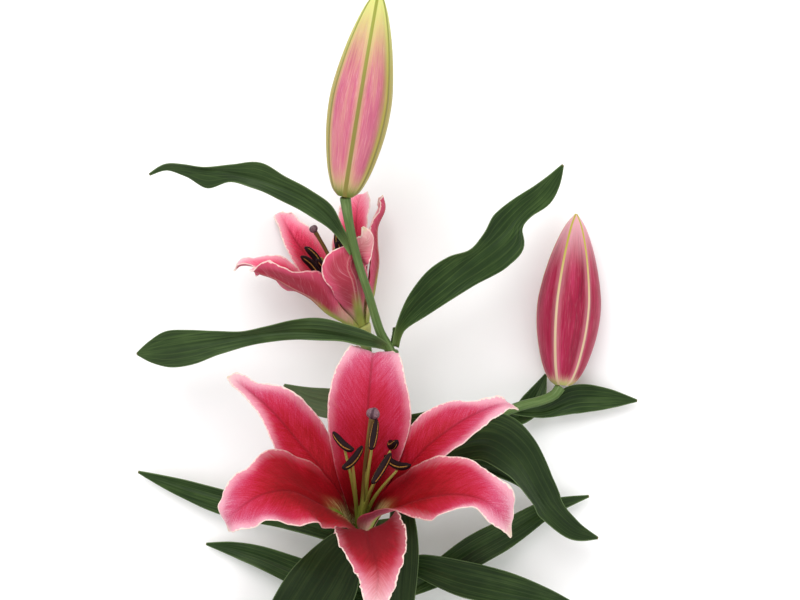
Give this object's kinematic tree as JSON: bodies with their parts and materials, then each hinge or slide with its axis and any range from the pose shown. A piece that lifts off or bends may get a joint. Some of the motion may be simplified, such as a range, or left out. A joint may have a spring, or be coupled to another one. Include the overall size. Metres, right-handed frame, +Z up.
{
  "type": "cut lily",
  "caption": "Cut stem of a large pink lily laid on its back, with an open bloom, a half-open bloom, closed buds on bent stalks and lance-shaped leaves up the stem.",
  "frame": {"origin": "on the surface that the stem lies on, under the middle of the part's box", "axes": "+Y along the stem towards the blooms, +Z up from the surface, +X to the right seen from above with the blooms at the top"},
  "size_m": [0.3098, 0.6048, 0.1686],
  "materials": {
    "stem": "satin",
    "leaf": "satin",
    "open_tepal": "satin",
    "half_tepal": "satin",
    "top_bud": "satin",
    "right_bud": "satin",
    "organs": "satin",
    "anther": "matte",
    "stigma": "satin"
  },
  "bodies": {
    "root": {"stem": "stem", "leaf_bud_left": "leaf", "leaf_upper_right": "leaf", "leaf_upper_left": "leaf", "leaf_behind_left": "leaf", "leaf_low_left": "leaf", "leaf_lower_left": "leaf", "leaf_broad_left": "leaf", "leaf_front": "leaf", "leaf_lower_right": "leaf", "leaf_low_right": "leaf", "leaf_arched_right": "leaf", "leaf_behind_bud": "leaf", "bract_right": "leaf", "leaf_behind_right": "leaf", "leaf_under_right": "leaf", "bract_top": "leaf", "leaf_stem_left_1": "leaf", "leaf_stem_right_1": "leaf", "leaf_stem_right_2": "leaf", "leaf_stem_left_2": "leaf", "leaf_stem_front": "leaf", "open_tepal_inner_top": "open_tepal", "open_tepal_inner_left": "open_tepal", "open_tepal_inner_right": "open_tepal", "open_tepal_outer_right": "open_tepal", "open_tepal_outer_left": "open_tepal", "open_tepal_outer_bottom": "open_tepal", "open_filaments_and_style": "organs", "open_anther_1": "anther", "open_anther_2": "anther", "open_anther_3": "anther", "open_anther_4": "anther", "open_anther_5": "anther", "open_anther_6": "anther", "open_stigma": "stigma", "half_tepal_outer_right": "half_tepal", "half_tepal_inner_back": "half_tepal", "half_tepal_outer_back": "half_tepal", "half_tepal_inner_left": "half_tepal", "half_tepal_outer_left": "half_tepal", "half_tepal_inner_front": "half_tepal", "half_filaments_and_style": "organs", "half_anther_1": "anther", "half_anther_2": "anther", "half_anther_3": "anther", "half_anther_4": "anther", "half_anther_5": "anther", "half_anther_6": "anther", "half_stigma": "stigma", "bud_top": "top_bud", "bud_right": "right_bud"}
  },
  "joints": []
}
